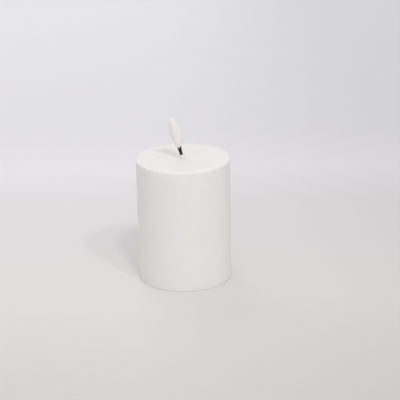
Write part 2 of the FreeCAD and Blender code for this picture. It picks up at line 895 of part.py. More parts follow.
def main():
    os.makedirs("parts", exist_ok=True)
    for name, shape in all_parts().items():
        if isinstance(shape, list):
            shape = Part.makeCompound(shape)
        solids = shape.Solids
        sound = all(solid.isValid() and solid.Volume > 0 for solid in solids)
        volume = sum(solid.Volume for solid in solids)
        print(name, "solids", len(solids), "volume", round(volume, 2), "sound", sound)
        whole = solids[0] if len(solids) == 1 else Part.makeCompound(solids)
        whole.exportStep("parts/" + name + ".step")


main()
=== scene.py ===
import json
import math

import bmesh
import bpy
from mathutils import Matrix, Vector


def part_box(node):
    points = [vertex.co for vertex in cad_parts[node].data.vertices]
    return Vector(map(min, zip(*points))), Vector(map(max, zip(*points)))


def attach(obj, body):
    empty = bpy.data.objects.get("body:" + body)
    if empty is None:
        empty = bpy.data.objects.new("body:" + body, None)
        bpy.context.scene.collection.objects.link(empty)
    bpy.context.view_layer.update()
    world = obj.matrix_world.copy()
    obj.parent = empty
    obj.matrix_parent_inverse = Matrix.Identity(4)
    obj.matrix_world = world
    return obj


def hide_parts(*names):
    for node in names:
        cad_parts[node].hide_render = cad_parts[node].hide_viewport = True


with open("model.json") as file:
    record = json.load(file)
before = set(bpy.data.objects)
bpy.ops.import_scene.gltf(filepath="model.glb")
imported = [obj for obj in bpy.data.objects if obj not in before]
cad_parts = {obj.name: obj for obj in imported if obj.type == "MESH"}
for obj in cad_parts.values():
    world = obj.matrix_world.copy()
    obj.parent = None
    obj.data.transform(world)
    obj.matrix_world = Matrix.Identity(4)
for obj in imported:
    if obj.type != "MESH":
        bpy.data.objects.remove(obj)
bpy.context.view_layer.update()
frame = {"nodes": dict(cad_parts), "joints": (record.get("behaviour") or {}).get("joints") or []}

# Flameless LED pillar candle: a wax shell, a bendable black wick and a frosted flame on a moulded base.
# Sizes in the dictionaries are millimetres; finished meshes are metres, in the frame's own place.

scene = bpy.context.scene
scene.view_settings.view_transform = "Standard"
nodes = frame["nodes"]
joints = {joint["name"]: joint for joint in frame["joints"]}
millimetre = 0.001


def boxOf(name):
    low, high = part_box(name)
    return low / millimetre, high / millimetre


def addNode(tree, kind, inputs=None, **settings):
    # an input that is given a socket is linked, and any other is set
    made = tree.nodes.new(kind)
    for key, value in settings.items():
        setattr(made, key, value)
    for key, value in (inputs or {}).items():
        socket = made.inputs[key]
        if isinstance(value, bpy.types.NodeSocket):
            tree.links.new(value, socket)
        else:
            socket.default_value = value
    return made


def calc(tree, operation, *values):
    return addNode(tree, "ShaderNodeMath", dict(enumerate(values)), operation=operation).outputs[0]


def joinXYZ(tree, x, y, z):
    return addNode(tree, "ShaderNodeCombineXYZ", {"X": x, "Y": y, "Z": z}).outputs[0]


def ramp(tree, factor, stops):
    # stops are (place, colour); the two that a new ramp has are used first
    made = addNode(tree, "ShaderNodeValToRGB", {"Fac": factor})
    elements = made.color_ramp.elements
    while len(elements) < len(stops):
        elements.new(0.5)
    for element, (place, colour) in zip(elements, stops):
        element.position = place
        element.color = (*colour, 1) if len(colour) == 3 else colour
    return made.outputs["Color"]


def objectPlace(tree, stretch=(1, 1, 1)):
    coordinate = addNode(tree, "ShaderNodeTexCoord").outputs["Object"]
    return addNode(tree, "ShaderNodeMapping", {"Vector": coordinate, "Scale": stretch}).outputs[0]


def cloud(tree, place, size, detail=3.0, roughness=0.5):
    # soft noise whose patches are about size millimetres across
    return addNode(tree, "ShaderNodeTexNoise", {
        "Vector": place, "Scale": 1 / (size * millimetre), "Detail": detail, "Roughness": roughness,
    }).outputs["Fac"]


def spread(tree, factor, low, high):
    return addNode(tree, "ShaderNodeMapRange", {
        "Value": factor, "From Min": 0.3, "From Max": 0.7, "To Min": low, "To Max": high,
    }).outputs["Result"]


def bumpOf(tree, height, depth, under=None):
    made = addNode(tree, "ShaderNodeBump", {
        "Height": height, "Strength": 1.0, "Distance": depth * millimetre})
    if under is not None:
        tree.links.new(under, made.inputs["Normal"])
    return made.outputs["Normal"]


def startMaterial(name):
    made = bpy.data.materials.new(name)
    made.use_nodes = True
    tree = made.node_tree
    tree.nodes.clear()
    shader = addNode(tree, "ShaderNodeBsdfPrincipled")
    addNode(tree, "ShaderNodeOutputMaterial", {"Surface": shader.outputs[0]})
    return made, tree, shader


def mouldedMaterial(name, look):
    # two close colours in soft patches, a grain in the surface, and a roughness that follows both
    made, tree, shader = startMaterial(name)
    place = objectPlace(tree, look.get("stretch", (1, 1, 1)))
    patches = cloud(tree, place, look["patch"], 4.0)
    grain = cloud(tree, place, look["grain"], 2.0, 0.6)
    colour = ramp(tree, patches, [(0.3, look["dark"]), (0.7, look["light"])])
    tree.links.new(colour, shader.inputs["Base Color"])
    tree.links.new(spread(tree, grain, *look["roughness"]), shader.inputs["Roughness"])
    normal = bumpOf(tree, patches, look.get("swell", 0.01))
    tree.links.new(bumpOf(tree, grain, look["depth"], normal), shader.inputs["Normal"])
    for socket, value in look.get("shader", {}).items():
        shader.inputs[socket].default_value = value
    return made


waxLook = {
    "dark": (0.829, 0.813, 0.797), "light": (0.847, 0.832, 0.818),
    "patch": 11.0, "grain": 0.6, "streak": 0.22, "fleck": 2.2, "fleckReach": 0.09, "fleckRare": 0.60,
    "roughness": (0.50, 0.62), "swell": 0.012, "depth": 0.008, "pit": 0.03,
    "shader": {
        "Subsurface Weight": 0.55, "Subsurface Radius": (1.0, 0.86, 0.72), "Subsurface Scale": 0.0045,
        "IOR": 1.43, "Specular IOR Level": 0.18,
    },
}


def waxMaterial(look):
    # cast wax: faint bloom in patches, a fine skin, and a few shallow pin marks from bubbles
    made, tree, shader = startMaterial("castWax")
    place = objectPlace(tree)
    patches = cloud(tree, place, look["patch"], 5.0, 0.55)
    streaks = cloud(tree, objectPlace(tree, (1, 1, look["streak"])), look["patch"] * 0.6, 3.0)
    skin = cloud(tree, place, look["grain"], 3.0, 0.65)
    mixed = calc(tree, "ADD", calc(tree, "MULTIPLY", patches, 0.7), calc(tree, "MULTIPLY", streaks, 0.3))
    colour = ramp(tree, mixed, [(0.34, look["dark"]), (0.66, look["light"])])
    tree.links.new(colour, shader.inputs["Base Color"])
    both = calc(tree, "MULTIPLY_ADD", patches, 0.5, calc(tree, "MULTIPLY", skin, 0.5))
    tree.links.new(spread(tree, both, *look["roughness"]), shader.inputs["Roughness"])
    cells = addNode(tree, "ShaderNodeTexVoronoi", {
        "Vector": place, "Scale": 1 / (look["fleck"] * millimetre), "Randomness": 1.0,
    }, feature="F1").outputs["Distance"]
    rare = calc(tree, "GREATER_THAN", cloud(tree, place, look["fleck"] * 2.5, 0.0), look["fleckRare"])
    pit = calc(tree, "MULTIPLY", calc(tree, "LESS_THAN", cells, look["fleckReach"]), rare)
    normal = bumpOf(tree, mixed, look["swell"])
    normal = bumpOf(tree, skin, look["depth"], normal)
    normal = bumpOf(tree, calc(tree, "SUBTRACT", 1.0, pit), look["pit"], normal)
    tree.links.new(normal, shader.inputs["Normal"])
    for socket, value in look["shader"].items():
        shader.inputs[socket].default_value = value
    return made


flameLook = {
    "dark": (0.83, 0.818, 0.79), "light": (0.87, 0.86, 0.837),
    "patch": 5.0, "grain": 0.35, "roughness": (0.50, 0.66), "swell": 0.02, "depth": 0.005,
    "shader": {
        "Subsurface Weight": 0.6, "Subsurface Radius": (1.0, 0.92, 0.80), "Subsurface Scale": 0.0016,
        "Transmission Weight": 0.03, "IOR": 1.46, "Specular IOR Level": 0.22,
    },
}

plasticLooks = {
    "housingPlastic": {"dark": (0.76, 0.755, 0.74), "light": (0.80, 0.797, 0.785), "patch": 14.0,
                       "grain": 0.16, "roughness": (0.38, 0.52), "depth": 0.006},
    "doorPlastic": {"dark": (0.765, 0.76, 0.745), "light": (0.81, 0.805, 0.795), "patch": 11.0, "grain": 0.16,
                    "roughness": (0.36, 0.50), "depth": 0.006},
    "riserPlastic": {"dark": (0.80, 0.80, 0.79), "light": (0.84, 0.84, 0.835), "patch": 10.0, "grain": 0.3,
                     "roughness": (0.30, 0.42), "depth": 0.004},
    "knobPlastic": {"dark": (0.018, 0.018, 0.020), "light": (0.032, 0.032, 0.034), "patch": 4.0,
                    "grain": 0.12, "roughness": (0.36, 0.55), "depth": 0.008},
    "leverPlastic": {"dark": (0.02, 0.02, 0.02), "light": (0.035, 0.034, 0.033), "patch": 3.0, "grain": 0.15,
                     "roughness": (0.4, 0.55), "depth": 0.004},
    "chipEpoxy": {"dark": (0.016, 0.016, 0.017), "light": (0.028, 0.028, 0.030), "patch": 2.0, "grain": 0.09,
                  "roughness": (0.5, 0.7), "depth": 0.006},
    "resistorGlaze": {"dark": (0.012, 0.012, 0.014), "light": (0.03, 0.03, 0.034), "patch": 0.8, "grain": 0.1,
                      "roughness": (0.3, 0.5), "depth": 0.004},
    "capacitorSleeve": {"dark": (0.010, 0.014, 0.040), "light": (0.016, 0.022, 0.060), "patch": 3.0,
                        "grain": 0.4, "roughness": (0.22, 0.34), "depth": 0.01,
                        "shader": {"Coat Weight": 0.25}},
    "wickRubber": {"dark": (0.006, 0.006, 0.007), "light": (0.016, 0.015, 0.015), "patch": 1.2, "grain": 0.12,
                   "roughness": (0.50, 0.70), "swell": 0.02, "depth": 0.012,
                   "shader": {"Specular IOR Level": 0.32}},
    "bootRubber": {"dark": (0.80, 0.785, 0.765), "light": (0.86, 0.85, 0.835), "patch": 1.6, "grain": 0.2,
                   "roughness": (0.42, 0.58), "swell": 0.02, "depth": 0.008,
                   "shader": {"Subsurface Weight": 0.5, "Subsurface Radius": (1.0, 0.85, 0.7),
                              "Subsurface Scale": 0.0015}},
    "redSleeving": {"dark": (0.42, 0.010, 0.010), "light": (0.55, 0.020, 0.016), "patch": 3.0, "grain": 0.15,
                    "roughness": (0.32, 0.46), "depth": 0.004},
    "blackSleeving": {"dark": (0.010, 0.010, 0.010), "light": (0.020, 0.020, 0.020), "patch": 3.0,
                      "grain": 0.15, "roughness": (0.32, 0.46), "depth": 0.004},
}

metalLooks = {
    "screwSteel": {"dark": (0.40, 0.40, 0.41), "light": (0.60, 0.60, 0.61), "patch": 0.9, "grain": 0.08,
                   "roughness": (0.24, 0.42), "depth": 0.004},
    "nickelPlate": {"dark": (0.60, 0.585, 0.55), "light": (0.74, 0.725, 0.69), "patch": 2.5, "grain": 0.12,
                    "stretch": (1, 1, 0.15), "roughness": (0.14, 0.28), "depth": 0.002},
    "tinnedSteel": {"dark": (0.52, 0.52, 0.53), "light": (0.68, 0.68, 0.69), "patch": 0.8, "grain": 0.1,
                    "roughness": (0.22, 0.40), "depth": 0.003},
    "solder": {"dark": (0.50, 0.51, 0.53), "light": (0.66, 0.67, 0.69), "patch": 0.6, "grain": 0.2,
               "roughness": (0.16, 0.34), "depth": 0.01},
    "cellSteel": {"dark": (0.56, 0.56, 0.565), "light": (0.70, 0.70, 0.705), "patch": 3.0, "grain": 0.1,
                  "stretch": (0.1, 1, 1), "roughness": (0.18, 0.34), "depth": 0.002},
    "wickCopper": {"dark": (0.60, 0.26, 0.13), "light": (0.78, 0.40, 0.24), "patch": 0.7, "grain": 0.06,
                   "roughness": (0.24, 0.40), "depth": 0.003},
}
for look in metalLooks.values():
    look["shader"] = {"Metallic": 1.0}

glassLook = {
    "dark": (0.95, 0.92, 0.80), "light": (0.98, 0.96, 0.88), "patch": 1.5, "grain": 0.3,
    "roughness": (0.04, 0.12), "depth": 0.002, "shader": {"Transmission Weight": 0.9, "IOR": 1.52},
}

boardLook = {
    "mask": (0.010, 0.115, 0.045), "track": (0.018, 0.190, 0.075), "trackPitch": 1.9, "trackWidth": 0.16,
    "trackDepth": 0.03, "irregular": 0.75, "weave": 0.5, "roughness": (0.24, 0.40),
}


def boardMaterial(look):
    # green solder mask over square-cornered copper tracks
    made, tree, shader = startMaterial("boardMask")
    place = objectPlace(tree, (1, 1, 0.001))
    second, nearest = (addNode(tree, "ShaderNodeTexVoronoi", {
        "Vector": place, "Scale": 1 / (look["trackPitch"] * millimetre), "Randomness": look["irregular"],
    }, feature=feature, distance="CHEBYCHEV").outputs["Distance"] for feature in ("F2", "F1"))
    track = calc(tree, "LESS_THAN", calc(tree, "SUBTRACT", second, nearest), look["trackWidth"])
    weave = cloud(tree, place, look["weave"], 2.0)
    shade = calc(tree, "MULTIPLY_ADD", weave, 0.12, calc(tree, "MULTIPLY", track, 0.88))
    colour = ramp(tree, shade, [(0.1, look["mask"]), (0.8, look["track"])])
    tree.links.new(colour, shader.inputs["Base Color"])
    tree.links.new(spread(tree, weave, *look["roughness"]), shader.inputs["Roughness"])
    tree.links.new(bumpOf(tree, track, look["trackDepth"]), shader.inputs["Normal"])
    return made


wrapLook = {
    "body": (0.030, 0.105, 0.085), "bodyDark": (0.018, 0.070, 0.058), "band": (0.70, 0.70, 0.68),
    "ink": (0.020, 0.022, 0.022), "bandStart": 0.80, "bandEnd": 0.965, "lineStart": 0.055, "lineEnd": 0.075,
    "plusPlace": 0.882, "minusPlace": 0.13, "markReach": 0.045, "markThick": 0.011,
    "length": 47.0, "girth": 45.6, "scuff": 1.2, "scuffDepth": 0.006, "roughness": (0.22, 0.36),
}


def between(tree, value, low, high):
    above = calc(tree, "GREATER_THAN", value, low)
    return calc(tree, "MULTIPLY", above, calc(tree, "LESS_THAN", value, high))


def printOver(tree, share, under, colour):
    return addNode(tree, "ShaderNodeMix", {0: share, 6: under, 7: (*colour, 1)}, data_type="RGBA").outputs[2]


def wrapMaterial(look):
    # printed cell wrap: a plain body, a pale band by the raised end, and a plus and a minus sign
    made, tree, shader = startMaterial("cellWrap")
    along = addNode(tree, "ShaderNodeAttribute", attribute_name="along").outputs["Fac"]
    turn = addNode(tree, "ShaderNodeAttribute", attribute_name="turn").outputs["Fac"]
    side = calc(tree, "MULTIPLY", calc(tree, "SUBTRACT", turn, 0.5), look["girth"] / look["length"])
    side = calc(tree, "ABSOLUTE", side)
    reach, thick = look["markReach"], look["markThick"]

    def bar(spot, wide, tall):
        off = calc(tree, "ABSOLUTE", calc(tree, "SUBTRACT", along, spot))
        return calc(tree, "MULTIPLY", calc(tree, "LESS_THAN", side, wide), calc(tree, "LESS_THAN", off, tall))

    plus = calc(tree, "MAXIMUM", bar(look["plusPlace"], reach, thick), bar(look["plusPlace"], thick, reach))
    line = between(tree, along, look["lineStart"], look["lineEnd"])
    pale = calc(tree, "MAXIMUM", between(tree, along, look["bandStart"], look["bandEnd"]),
                calc(tree, "MAXIMUM", line, bar(look["minusPlace"], reach, thick)))
    scuffs = cloud(tree, objectPlace(tree, (0.2, 1, 1)), look["scuff"], 4.0)
    body = ramp(tree, scuffs, [(0.3, look["bodyDark"]), (0.7, look["body"])])
    inked = printOver(tree, plus, printOver(tree, pale, body, look["band"]), look["ink"])
    tree.links.new(inked, shader.inputs["Base Color"])
    tree.links.new(spread(tree, scuffs, *look["roughness"]), shader.inputs["Roughness"])
    tree.links.new(bumpOf(tree, scuffs, look["scuffDepth"]), shader.inputs["Normal"])
    return made


materials = {"castWax": waxMaterial(waxLook), "boardMask": boardMaterial(boardLook)}
materials["cellWrap"] = wrapMaterial(wrapLook)
mouldedLooks = {"frostedFlame": flameLook, "ledEpoxy": glassLook, **plasticLooks, **metalLooks}
for name, look in mouldedLooks.items():
    materials[name] = mouldedMaterial(name, look)
print("materials made:", len(materials))


def startTree(name, inputs):
    # every tree works in millimetres, and settle turns what it makes to metres
    tree = bpy.data.node_groups.new(name, "GeometryNodeTree")
    tree.interface.new_socket("Geometry", in_out="OUTPUT", socket_type="NodeSocketGeometry")
    tree.interface.new_socket("Geometry", in_out="INPUT", socket_type="NodeSocketGeometry")
    for label, kind in inputs.items():
        tree.interface.new_socket(label, in_out="INPUT", socket_type="NodeSocket" + kind)
    tree.interface.new_socket("Material", in_out="INPUT", socket_type="NodeSocketMaterial")
    return tree, addNode(tree, "NodeGroupInput").outputs


def endTree(tree, entry, geometry):
    real = addNode(tree, "GeometryNodeRealizeInstances", {"Geometry": geometry})
    painted = addNode(tree, "GeometryNodeSetMaterial",
                      {"Geometry": real.outputs[0], "Material": entry["Material"]})
    addNode(tree, "NodeGroupOutput", {0: painted.outputs[0]})
    return tree


skinInputs = {"Unevenness": "Float", "Lump Size": "Float", "Seed": "Float"}
evenSkin = {"unevenness": 0.0, "lumpSize": 1.0, "seed": 0.0}


def unevenSkin(tree, entry, geometry):
    # pushes a surface in and out along its normal by soft noise
    amount, size, seed = entry["Unevenness"], entry["Lump Size"], entry["Seed"]
    place = addNode(tree, "GeometryNodeInputPosition").outputs[0]
    noise = addNode(tree, "ShaderNodeTexNoise", {
        "Vector": place, "W": seed, "Scale": calc(tree, "DIVIDE", 1.0, size), "Detail": 2.0,
    }, noise_dimensions="4D").outputs["Fac"]
    push = calc(tree, "MULTIPLY", calc(tree, "SUBTRACT", noise, 0.5), calc(tree, "MULTIPLY", amount, 2.0))
    normal = addNode(tree, "GeometryNodeInputNormal").outputs[0]
    offset = addNode(tree, "ShaderNodeVectorMath", {0: normal, "Scale": push}, operation="SCALE").outputs[0]
    return addNode(tree, "GeometryNodeSetPosition", {"Geometry": geometry, "Offset": offset}).outputs[0]


def gridOver(tree, around, rows):
    # a sheet of around x rows points, with its two shares: round the axis, and along the outline
    sheet = addNode(tree, "GeometryNodeMeshGrid", {
        "Size X": 1.0, "Size Y": 1.0, "Vertices X": calc(tree, "ADD", around, 1), "Vertices Y": rows})
    place = addNode(tree, "GeometryNodeInputPosition").outputs[0]
    shares = addNode(tree, "ShaderNodeSeparateXYZ", {0: place})
    turn = calc(tree, "ADD", shares.outputs["X"], 0.5)
    row = calc(tree, "ADD", shares.outputs["Y"], 0.5)
    return sheet.outputs["Mesh"], turn, row


def keep(tree, geometry, label, value):
    return addNode(tree, "GeometryNodeStoreNamedAttribute", {
        "Geometry": geometry, "Name": label, "Value": value}, data_type="FLOAT", domain="POINT").outputs[0]


weldReach = 0.0004


def weld(tree, geometry):
    return addNode(tree, "GeometryNodeMergeByDistance", {
        "Geometry": geometry, "Distance": weldReach}).outputs[0]


def makeLatheTree():
    # turns the outline that comes in, points of (radius, 0, height) in order, round the Z axis
    tree, entry = startTree("turnedOutline", {"Around": "Int", "Length": "Float", **skinInputs})
    rows = addNode(tree, "GeometryNodeAttributeDomainSize", {"Geometry": entry["Geometry"]})
    rows = rows.outputs["Point Count"]
    sheet, turn, row = gridOver(tree, entry["Around"], rows)
    index = calc(tree, "ROUND", calc(tree, "MULTIPLY", row, calc(tree, "SUBTRACT", rows, 1)))
    place = addNode(tree, "GeometryNodeInputPosition").outputs[0]
    outline = addNode(tree, "GeometryNodeSampleIndex", {
        "Geometry": entry["Geometry"], "Value": place, "Index": index}, data_type="FLOAT_VECTOR").outputs[0]
    part = addNode(tree, "ShaderNodeSeparateXYZ", {0: outline})
    sheet = keep(tree, sheet, "along", calc(tree, "DIVIDE", part.outputs["Z"], entry["Length"]))
    sheet = keep(tree, sheet, "turn", turn)
    angle = calc(tree, "MULTIPLY", turn, math.tau)
    spot = joinXYZ(tree, calc(tree, "MULTIPLY", part.outputs["X"], calc(tree, "COSINE", angle)),
                   calc(tree, "MULTIPLY", part.outputs["X"], calc(tree, "SINE", angle)), part.outputs["Z"])
    turned = addNode(tree, "GeometryNodeSetPosition", {"Geometry": sheet, "Position": spot}).outputs[0]
    return endTree(tree, entry, unevenSkin(tree, entry, weld(tree, turned)))


def makeFlameTree():
    # the flame by rule: blunt foot, widest low down, round tip, a middle line that drifts sideways
    tree, entry = startTree("flameByRule", {
        "Around": "Int", "Rows": "Int", "Height": "Float", "Half Width": "Float", "Depth Share": "Float",
        "Foot Power": "Float", "Tip Power": "Float", "Foot Shift": "Float", "Shoulder Shift": "Float",
        "Tip Shift": "Float", "Shoulder Share": "Float", "Tip Start": "Float", **skinInputs})
    sheet, turn, row = gridOver(tree, entry["Around"], entry["Rows"])
    wave = calc(tree, "COSINE", calc(tree, "MULTIPLY", row, math.pi))
    share = calc(tree, "SUBTRACT", 0.5, calc(tree, "MULTIPLY", wave, 0.5))
    foot, tip = entry["Foot Power"], entry["Tip Power"]
    rest = calc(tree, "SUBTRACT", 1.0, share)
    swell = calc(tree, "MULTIPLY", calc(tree, "POWER", share, foot), calc(tree, "POWER", rest, tip))
    both = calc(tree, "ADD", foot, tip)
    peak = calc(tree, "MULTIPLY", calc(tree, "POWER", calc(tree, "DIVIDE", foot, both), foot),
                calc(tree, "POWER", calc(tree, "DIVIDE", tip, both), tip))
    half = calc(tree, "MULTIPLY", entry["Half Width"], calc(tree, "DIVIDE", swell, peak))
    rise = calc(tree, "MINIMUM", calc(tree, "DIVIDE", share, entry["Shoulder Share"]), 1.0)
    rise = calc(tree, "SINE", calc(tree, "MULTIPLY", rise, math.pi / 2))
    late = calc(tree, "MAXIMUM", calc(tree, "SUBTRACT", share, entry["Tip Start"]), 0.0)
    late = calc(tree, "DIVIDE", late, calc(tree, "SUBTRACT", 1.0, entry["Tip Start"]))
    drift = calc(tree, "ADD", entry["Foot Shift"], calc(tree, "MULTIPLY", entry["Shoulder Shift"], rise))
    pull = calc(tree, "MULTIPLY", entry["Tip Shift"], calc(tree, "POWER", late, 2.0))
    drift = calc(tree, "ADD", drift, pull)
    angle = calc(tree, "MULTIPLY", turn, math.tau)
    x = calc(tree, "ADD", drift, calc(tree, "MULTIPLY", half, calc(tree, "COSINE", angle)))
    y = calc(tree, "MULTIPLY", calc(tree, "MULTIPLY", half, entry["Depth Share"]), calc(tree, "SINE", angle))
    spot = joinXYZ(tree, x, y, calc(tree, "MULTIPLY", share, entry["Height"]))
    shaped = addNode(tree, "GeometryNodeSetPosition", {"Geometry": sheet, "Position": spot}).outputs[0]
    return endTree(tree, entry, unevenSkin(tree, entry, weld(tree, shaped)))


def makeSweepTree():
    # a round bar along each line that comes in; the point attribute "thick" is its radius
    tree, entry = startTree("roundBar", {"Sides": "Int", "Step": "Float", **skinInputs})
    line = addNode(tree, "GeometryNodeMeshToCurve", {"Mesh": entry["Geometry"]}).outputs[0]
    even = addNode(tree, "GeometryNodeResampleCurve", {
        "Curve": line, "Length": entry["Step"]}, mode="LENGTH").outputs[0]
    thick = addNode(tree, "GeometryNodeInputNamedAttribute", {"Name": "thick"}, data_type="FLOAT").outputs[0]
    section = addNode(tree, "GeometryNodeCurvePrimitiveCircle", {
        "Resolution": entry["Sides"], "Radius": 1.0}).outputs["Curve"]
    bar = addNode(tree, "GeometryNodeCurveToMesh", {
        "Curve": even, "Profile Curve": section, "Scale": thick, "Fill Caps": True}).outputs[0]
    return endTree(tree, entry, unevenSkin(tree, entry, bar))


def makeSpringTree():
    # a conical coil whose first and last turns lie flat
    tree, entry = startTree("conicalSpring", {
        "Turns": "Float", "Wide": "Float", "Narrow": "Float", "Rise": "Float",
        "Flat Share": "Float", "Wire": "Float", "Steps": "Int", "Sides": "Int"})
    line = addNode(tree, "GeometryNodeMeshLine", {
        "Count": entry["Steps"], "Start Location": (0, 0, 0), "Offset": (0, 0, 1)}).outputs[0]
    index = addNode(tree, "GeometryNodeInputIndex").outputs[0]
    share = calc(tree, "DIVIDE", index, calc(tree, "SUBTRACT", entry["Steps"], 1))
    angle = calc(tree, "MULTIPLY", calc(tree, "MULTIPLY", share, entry["Turns"]), math.tau)
    narrowing = calc(tree, "SUBTRACT", entry["Narrow"], entry["Wide"])
    radius = calc(tree, "ADD", entry["Wide"], calc(tree, "MULTIPLY", share, narrowing))
    flat = entry["Flat Share"]
    climb = addNode(tree, "ShaderNodeMapRange", {
        "Value": share, "From Min": flat, "From Max": calc(tree, "SUBTRACT", 1.0, flat),
        "To Min": 0.0, "To Max": entry["Rise"]}, interpolation_type="SMOOTHSTEP").outputs["Result"]
    spot = joinXYZ(tree, calc(tree, "MULTIPLY", radius, calc(tree, "COSINE", angle)),
                   calc(tree, "MULTIPLY", radius, calc(tree, "SINE", angle)), climb)
    bent = addNode(tree, "GeometryNodeSetPosition", {"Geometry": line, "Position": spot}).outputs[0]
    curve = addNode(tree, "GeometryNodeMeshToCurve", {"Mesh": bent}).outputs[0]
    section = addNode(tree, "GeometryNodeCurvePrimitiveCircle", {
        "Resolution": entry["Sides"], "Radius": calc(tree, "DIVIDE", entry["Wire"], 2.0)}).outputs["Curve"]
    coil = addNode(tree, "GeometryNodeCurveToMesh", {
        "Curve": curve, "Profile Curve": section, "Fill Caps": True}).outputs[0]
    return endTree(tree, entry, coil)


def makeSpreadTree():
    # one copy of a piece on each point that comes in, each turned by its own random amount
    tree, entry = startTree("onePerPoint", {"Piece": "Object", "Most Turn": "Float", "Seed": "Int"})
    piece = addNode(tree, "GeometryNodeObjectInfo", {"Object": entry["Piece"]}).outputs["Geometry"]
    turn = addNode(tree, "FunctionNodeRandomValue", {
        2: 0.0, 3: entry["Most Turn"], "Seed": entry["Seed"]}, data_type="FLOAT").outputs[1]
    points = addNode(tree, "GeometryNodeMeshToPoints", {"Mesh": entry["Geometry"]}).outputs[0]
    copies = addNode(tree, "GeometryNodeInstanceOnPoints", {
        "Points": points, "Instance": piece, "Rotation": joinXYZ(tree, 0.0, 0.0, turn)}).outputs[0]
    return endTree(tree, entry, copies)


latheTree = makeLatheTree()
flameTree = makeFlameTree()
sweepTree = makeSweepTree()
springTree = makeSpringTree()
spreadTree = makeSpreadTree()
print("trees made:", len(bpy.data.node_groups))


def arcCorner(before, corner, after, rounding, steps):
    # the points of an arc that rounds one corner of an outline
    back, on = (before - corner).normalized(), (after - corner).normalized()
    half = back.angle(on) / 2
    shorter = min((before - corner).length, (after - corner).length)
    reach = min(rounding / math.tan(half), shorter * 0.49)
    middle = corner + (back + on).normalized() * (reach / math.cos(half))
    first, last = corner + back * reach, corner + on * reach
    sweep = (first - middle).angle(last - middle)
    points = []
    for step in range(steps + 1):
        share = step / steps
        arm = (first - middle) * math.sin((1 - share) * sweep) + (last - middle) * math.sin(share * sweep)
        points.append(middle + arm / math.sin(sweep))
    return points


def outline(corners, step=2.0, arcSteps=8):
    # corners are (radius, height, rounding); long straight stretches are cut into steps
    spots = [Vector((r, 0, z)) for r, z, _ in corners]
    points = [spots[0]]
    for before, corner, after, (_, _, rounding) in zip(spots, spots[1:], spots[2:], corners[1:]):
        points += arcCorner(before, corner, after, rounding, arcSteps) if rounding else [corner]
    points.append(spots[-1])
    fine = [points[0]]
    for start, end in zip(points, points[1:]):
        pieces = max(1, round((end - start).length / step))
        fine += [start.lerp(end, n / pieces) for n in range(1, pieces + 1)]
    return fine


def grow(name, tree, lines, finish, values, thick=None):
    # runs a tree over lines of points and gives the plain mesh it makes, still in millimetres;
    # values holds the tree's inputs, "Half Width" as halfWidth
    points, edges = [], []
    for line in lines:
        edges += [(len(points) + n, len(points) + n + 1) for n in range(len(line) - 1)]
        points += line
    mesh = bpy.data.meshes.new(name + "Line")
    mesh.from_pydata(points, edges, [])
    if thick:
        mesh.attributes.new("thick", "FLOAT", "POINT").data.foreach_set("value", thick)
    holder = bpy.data.objects.new(name + "Line", mesh)
    scene.collection.objects.link(holder)
    modifier = holder.modifiers.new("grow", "NODES")
    modifier.node_group = tree
    named = {"material": materials[finish], **{key.lower(): value for key, value in values.items()}}
    for socket in tree.interface.items_tree:
        key = socket.name.replace(" ", "").lower()
        if socket.in_out == "INPUT" and key in named:
            modifier[socket.identifier] = named[key]
    depsgraph = bpy.context.evaluated_depsgraph_get()
    made = bpy.data.meshes.new_from_object(holder.evaluated_get(depsgraph), depsgraph=depsgraph)
    holder.modifiers.clear()
    bpy.data.objects.remove(holder)
    return made


seam = {"merge": 0.0003, "shortest": 0.0002}


def settle(name, mesh, body, replaced, place=None, sharp=35):
    # welds, faces outwards, moves to its place in metres, and hands the piece to the frame;
    # a place turns and shifts but never mirrors, which would turn the piece inside out
    work = bmesh.new()
    work.from_mesh(mesh)
    bmesh.ops.remove_doubles(work, verts=work.verts, dist=seam["merge"])
    bmesh.ops.dissolve_degenerate(work, edges=work.edges, dist=seam["shortest"])
    bmesh.ops.recalc_face_normals(work, faces=work.faces)
    openEdges = sum(1 for edge in work.edges if not edge.is_manifold)
    work.to_mesh(mesh)
    work.free()
    mesh.transform(Matrix.Scale(millimetre, 4) @ (place or Matrix.Identity(4)))
    mesh.shade_smooth()
    mesh.set_sharp_from_angle(angle=math.radians(sharp))
    mesh.name = name
    piece = bpy.data.objects.new(name, mesh)
    scene.collection.objects.link(piece)
    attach(piece, body)
    if replaced:
        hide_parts(*replaced)
    print("piece", name, "faces", len(mesh.polygons), "open edges", openEdges)
    return piece


waxLow, waxHigh = boxOf("wax_shell")
flangeHigh = boxOf("base_housing")[1]
bendPoint = Vector(joints["wick_bend"]["pos_m"]) / millimetre
shell = {
    "cavityRadius": 33.0, "ceiling": 93.0, "stepHeight": 3.0, "flangeGap": 0.2,
    "holeRadius": 3.0, "holeTop": 98.4, "throatRadius": 1.9, "mouthRadius": 2.55,
    "rimRound": 0.8, "footDrop": 0.2, "footRound": 0.4, "innerRound": 6.0, "mouthRound": 0.5,
    "throatRound": 0.3, "edgeRound": 0.2,
    "around": 200, "step": 2.0, "unevenness": 0.09, "lumpSize": 22.0, "seed": 3.0,
}


